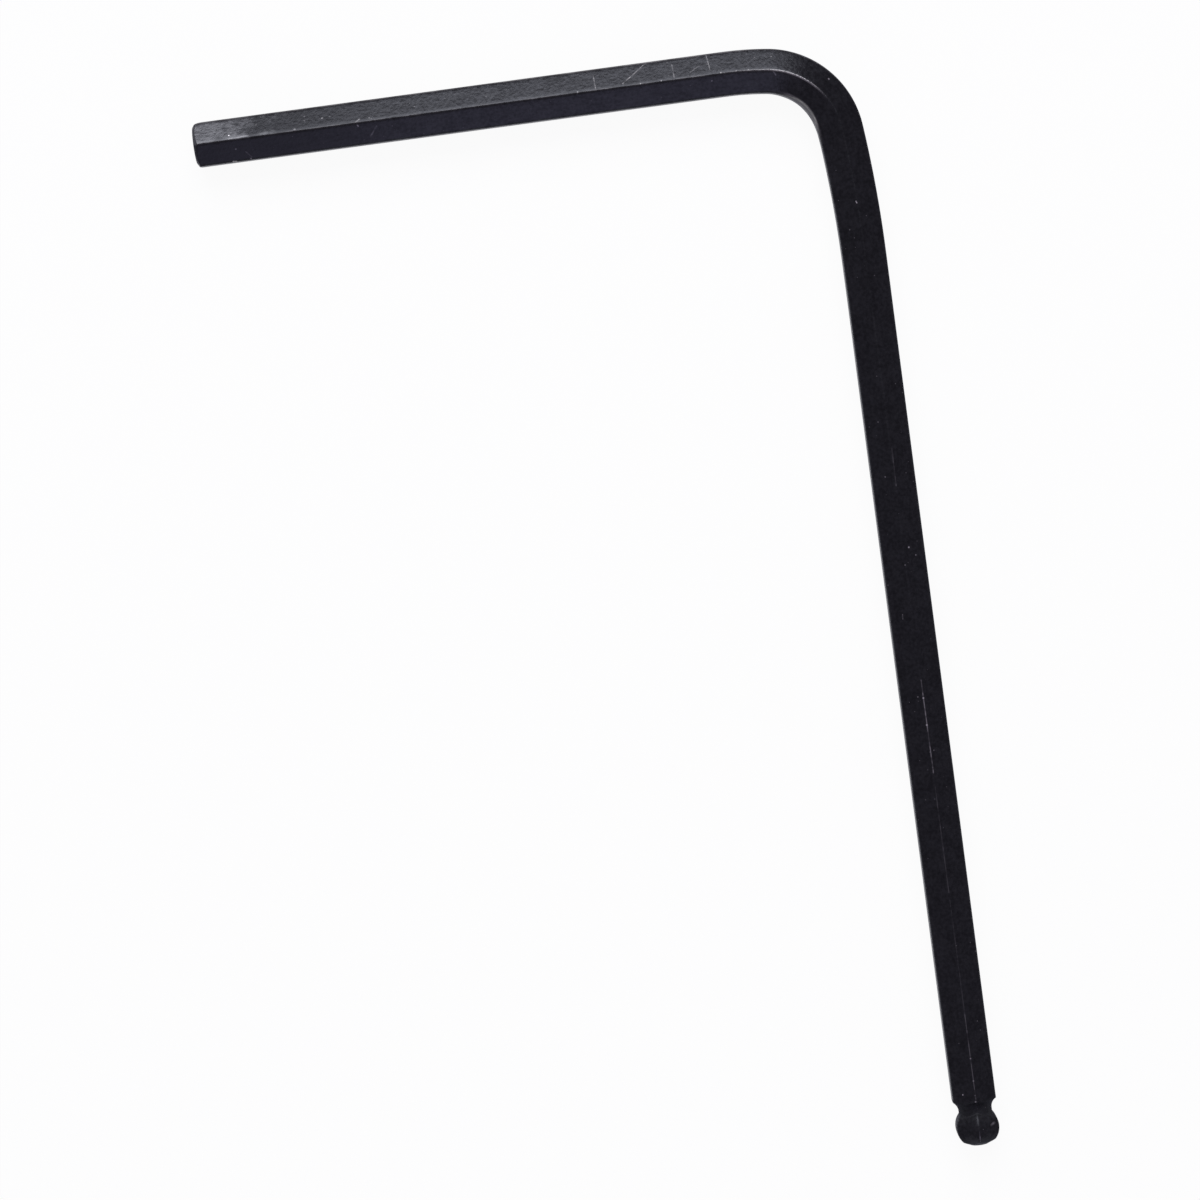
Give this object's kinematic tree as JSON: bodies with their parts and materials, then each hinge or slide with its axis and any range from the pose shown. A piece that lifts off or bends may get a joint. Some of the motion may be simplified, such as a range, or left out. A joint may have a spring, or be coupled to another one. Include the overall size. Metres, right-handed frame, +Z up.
{
  "type": "hex key",
  "caption": "L-shaped key of hexagonal bar, with a chamfered plain end on the short arm, a rounded bend and a turned neck and hexagonal ball on the end of the long arm.",
  "frame": {"origin": "on the ground under the centre of the key's outline, as it lies flat on the edges of both arms", "axes": "+Z up, square to the plane of the bend; the long arm runs to -Y and ends in the ball; the short arm runs to -X and ends in the plain end"},
  "size_m": [0.0612, 0.1027, 0.0045],
  "materials": {
    "black_oxide_steel": "black oxide with a low satin sheen, rubbed brighter along the upper edges"
  },
  "bodies": {
    "root": {"hex_key": "black_oxide_steel"}
  },
  "joints": []
}
